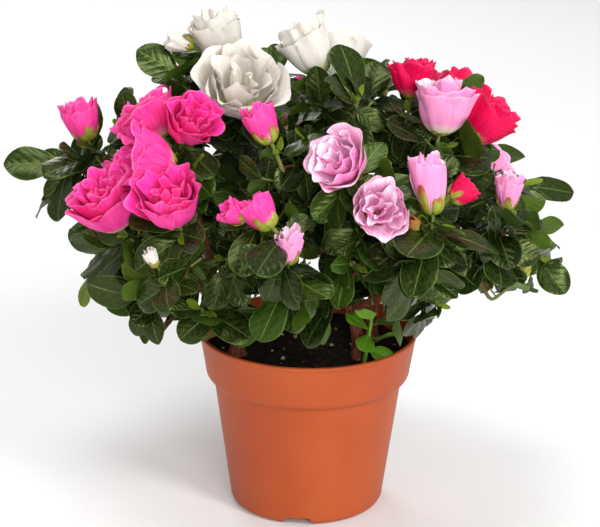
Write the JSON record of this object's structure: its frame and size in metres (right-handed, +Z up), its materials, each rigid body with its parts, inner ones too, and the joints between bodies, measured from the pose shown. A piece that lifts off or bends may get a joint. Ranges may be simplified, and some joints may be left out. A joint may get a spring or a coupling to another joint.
{
  "type": "potted flowering azalea",
  "caption": "Low, rounded flowering shrub with leathery oval leaves and ruffled white, pink and crimson blooms on woody stems, in a round tapered plastic pot.",
  "frame": {"origin": "centre of the pot's flat underside", "axes": "+Z up, -Y towards the side that faces the viewer in the main view, +X to that viewer's right"},
  "size_m": [0.3313, 0.2842, 0.304],
  "materials": {
    "pot": "terracotta-coloured moulded plastic, satin",
    "soil": "dark potting soil, rough",
    "bark": "red-brown bark, matt",
    "foliage": "dark green glossy leaves with flowers",
    "young_foliage": "fresh green leaves, satin"
  },
  "bodies": {
    "root": {"pot": "pot", "soil": "soil", "stem_left": "bark", "bough_left_tip": "bark", "bough_left_upper": "bark", "bough_left_lower": "bark", "bough_front_centre": "bark", "stem_front_right": "bark", "bough_centre": "bark", "bough_front_right": "bark", "bough_right_lower": "bark", "stem_back_right": "bark", "bough_right_upper": "bark", "bough_top_right": "bark", "bough_back_right": "bark", "stem_back_left": "bark", "bough_top_left": "bark", "bough_back_centre": "bark", "bough_back_left": "bark", "young_shoot": "young_foliage", "foliage_left_tip": "foliage", "foliage_left_upper": "foliage", "foliage_left_lower": "foliage", "foliage_front_centre": "foliage", "foliage_centre": "foliage", "foliage_front_right": "foliage", "foliage_right_lower": "foliage", "foliage_right_upper": "foliage", "foliage_top_right": "foliage", "foliage_top_left": "foliage", "foliage_back_right": "foliage", "foliage_back_centre": "foliage", "foliage_back_left": "foliage"}
  },
  "joints": []
}
